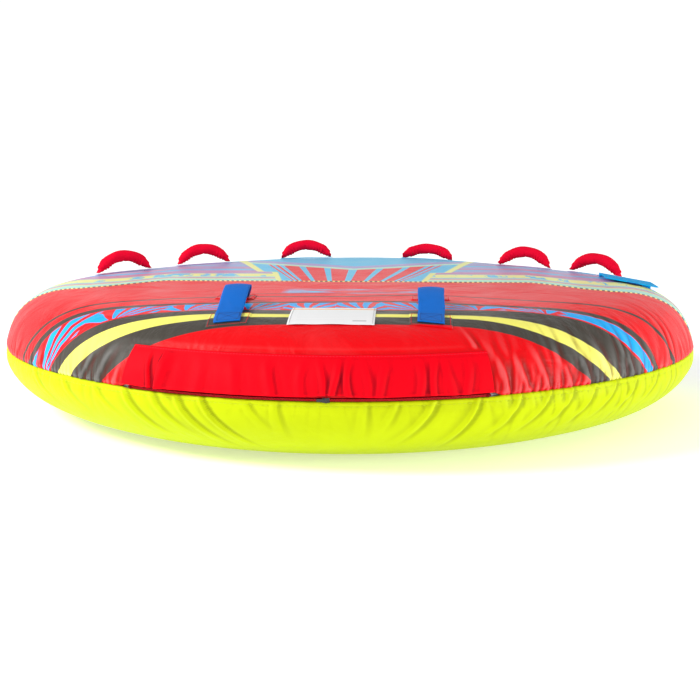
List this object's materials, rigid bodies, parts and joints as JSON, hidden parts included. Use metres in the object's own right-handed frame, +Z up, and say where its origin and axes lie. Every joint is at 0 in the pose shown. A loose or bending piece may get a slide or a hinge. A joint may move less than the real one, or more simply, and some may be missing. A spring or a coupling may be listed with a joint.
{
  "type": "towable tube",
  "caption": "Inflatable deck tube for riders kneeling or lying side by side: sewn fabric cover over a bladder, padded handles, rear zipper with flap, boarding straps, valve and tow ring.",
  "frame": {"origin": "on the floor, under the centre of the round rear edge", "axes": "+Z up, +Y towards the tow point at the nose, +X to the right seen from the boarding side"},
  "size_m": [1.5976, 1.5515, 0.3325],
  "materials": {
    "cover_red": "coated woven polyester, semi-gloss",
    "cover_deck": "printed coated polyester, satin",
    "cover_lime": "coated woven nylon, satin",
    "flap_red": "woven nylon, matt",
    "zipper_red": "nylon coil on woven tape",
    "handle_crimson": "neoprene, matt",
    "foam_grey": "closed-cell foam",
    "webbing_black": "woven webbing",
    "strap_blue": "woven polyester webbing",
    "label_white": "coated printed label, blank",
    "patch_red": "coated woven polyester",
    "vinyl_grey": "flexible vinyl",
    "black_plastic": "moulded",
    "seal_grey": "moulded",
    "cap_red": "moulded",
    "steel": "stainless",
    "flap_sky": "coated polyester, satin",
    "tab_blue": "woven webbing"
  },
  "bodies": {
    "tube": {"bladder_baffle_1": "vinyl_grey", "bladder_baffle_2": "vinyl_grey", "bladder_baffle_3": "vinyl_grey", "bladder_baffle_4": "vinyl_grey", "bladder_bottom_sheet": "vinyl_grey", "bladder_top_sheet": "vinyl_grey", "boarding_strap_left": "strap_blue", "boarding_strap_right": "strap_blue", "cover_bottom_panel": "cover_lime", "cover_front_top_panel": "cover_deck", "cover_rear_top_panel": "cover_red", "handle_1_patch": "cover_deck", "handle_2_patch": "cover_deck", "handle_3_patch": "cover_deck", "handle_4_patch": "cover_deck", "handle_5_patch": "cover_deck", "handle_6_patch": "cover_deck", "strap_patch_left_front": "patch_red", "strap_patch_left_rear": "patch_red", "strap_patch_right_front": "patch_red", "strap_patch_right_rear": "patch_red", "tow_webbing": "webbing_black", "valve_boot": "vinyl_grey", "valve_flap_hem": "flap_sky", "valve_seat": "black_plastic", "warning_label": "label_white", "zipper_left_stop": "black_plastic", "zipper_lower_half": "zipper_red", "zipper_right_stop": "black_plastic", "zipper_upper_half": "zipper_red"},
    "zipper_slider_body": {"zipper_slider": "black_plastic"},
    "zipper_pull_body": {"zipper_pull": "black_plastic"},
    "zipper_flap_body": {"zipper_flap": "flap_red"},
    "valve_flap_body": {"valve_flap": "flap_sky", "valve_flap_tab": "tab_blue"},
    "valve_seal_body": {"valve_seal": "seal_grey"},
    "valve_cap_body": {"valve_cap": "cap_red"},
    "tow_ring_body": {"tow_ring": "steel"},
    "handle_1_grip": {"handle_1_cover": "handle_crimson", "handle_1_foam": "foam_grey", "handle_1_webbing": "webbing_black"},
    "handle_2_grip": {"handle_2_cover": "handle_crimson", "handle_2_foam": "foam_grey", "handle_2_webbing": "webbing_black"},
    "handle_3_grip": {"handle_3_cover": "handle_crimson", "handle_3_foam": "foam_grey", "handle_3_webbing": "webbing_black"},
    "handle_4_grip": {"handle_4_cover": "handle_crimson", "handle_4_foam": "foam_grey", "handle_4_webbing": "webbing_black"},
    "handle_5_grip": {"handle_5_cover": "handle_crimson", "handle_5_foam": "foam_grey", "handle_5_webbing": "webbing_black"},
    "handle_6_grip": {"handle_6_cover": "handle_crimson", "handle_6_foam": "foam_grey", "handle_6_webbing": "webbing_black"}
  },
  "joints": [
    {"name": "zipper_slider_travel", "type": "hinge", "parent": "tube", "child": "zipper_slider_body", "pos_m": [0, 0, 0.1465], "axis": [0, 0, 1], "range_deg": [-29, 21.8]},
    {"name": "zipper_pull_swing", "type": "hinge", "parent": "zipper_slider_body", "child": "zipper_pull_body", "pos_m": [-0.00133, -0.75961, 0.1465], "axis": [0, 0, 1], "range_deg": [0, 165]},
    {"name": "zipper_flap_lift", "type": "hinge", "parent": "tube", "child": "zipper_flap_body", "pos_m": [-0.04217, -0.64342, 0.22313], "axis": [-0.9979, 0.0654, 0], "range_deg": [0, 40]},
    {"name": "valve_flap_lift", "type": "hinge", "parent": "tube", "child": "valve_flap_body", "pos_m": [0.6655, 0.097, 0.27635], "axis": [-0.9842, 0, 0.1772], "range_deg": [0, 120]},
    {"name": "valve_seal_rise", "type": "slide", "parent": "tube", "child": "valve_seal_body", "axis": [0.1732, 0.0219, 0.9846], "range_m": [0, 0.0041]},
    {"name": "valve_cap_turn", "type": "hinge", "parent": "valve_seal_body", "child": "valve_cap_body", "pos_m": [0.662, 0.041, 0.27222], "axis": [0.1732, 0.0219, 0.9846], "range_deg": [0, 360]},
    {"name": "handle_1_flop", "type": "hinge", "parent": "tube", "child": "handle_1_grip", "pos_m": [-0.57447, 0.15021, 0.28451], "axis": [0.8283, 0.5587, 0.0409], "range_deg": [-50, 50]},
    {"name": "handle_2_flop", "type": "hinge", "parent": "tube", "child": "handle_2_grip", "pos_m": [-0.4053, 0.3453, 0.2853], "axis": [0.9133, 0.4066, 0.0241], "range_deg": [-50, 50]},
    {"name": "handle_3_flop", "type": "hinge", "parent": "tube", "child": "handle_3_grip", "pos_m": [-0.15025, 0.56069, 0.28258], "axis": [0.99, 0.1391, 0.0239], "range_deg": [-25, 75]},
    {"name": "handle_4_flop", "type": "hinge", "parent": "tube", "child": "handle_4_grip", "pos_m": [0.1904, 0.55888, 0.28088], "axis": [0.9894, -0.1391, -0.0414], "range_deg": [-6, 94]},
    {"name": "handle_5_flop", "type": "hinge", "parent": "tube", "child": "handle_5_grip", "pos_m": [0.44037, 0.32536, 0.28452], "axis": [0.9131, -0.4065, -0.0304], "range_deg": [-34, 66]},
    {"name": "handle_6_flop", "type": "hinge", "parent": "tube", "child": "handle_6_grip", "pos_m": [0.60603, 0.18555, 0.2794], "axis": [0.8068, -0.5862, -0.0735], "range_deg": [-50, 50]},
    {"name": "tow_ring_swing", "type": "hinge", "parent": "tube", "child": "tow_ring_body", "pos_m": [0, 0.782, 0.122], "axis": [1, 0, 0], "range_deg": [-15, 150]}
  ],
  "couplings": [
    {"joint": "valve_seal_rise", "follows": "valve_cap_turn", "m_per_rad": 0.00063662}
  ]
}
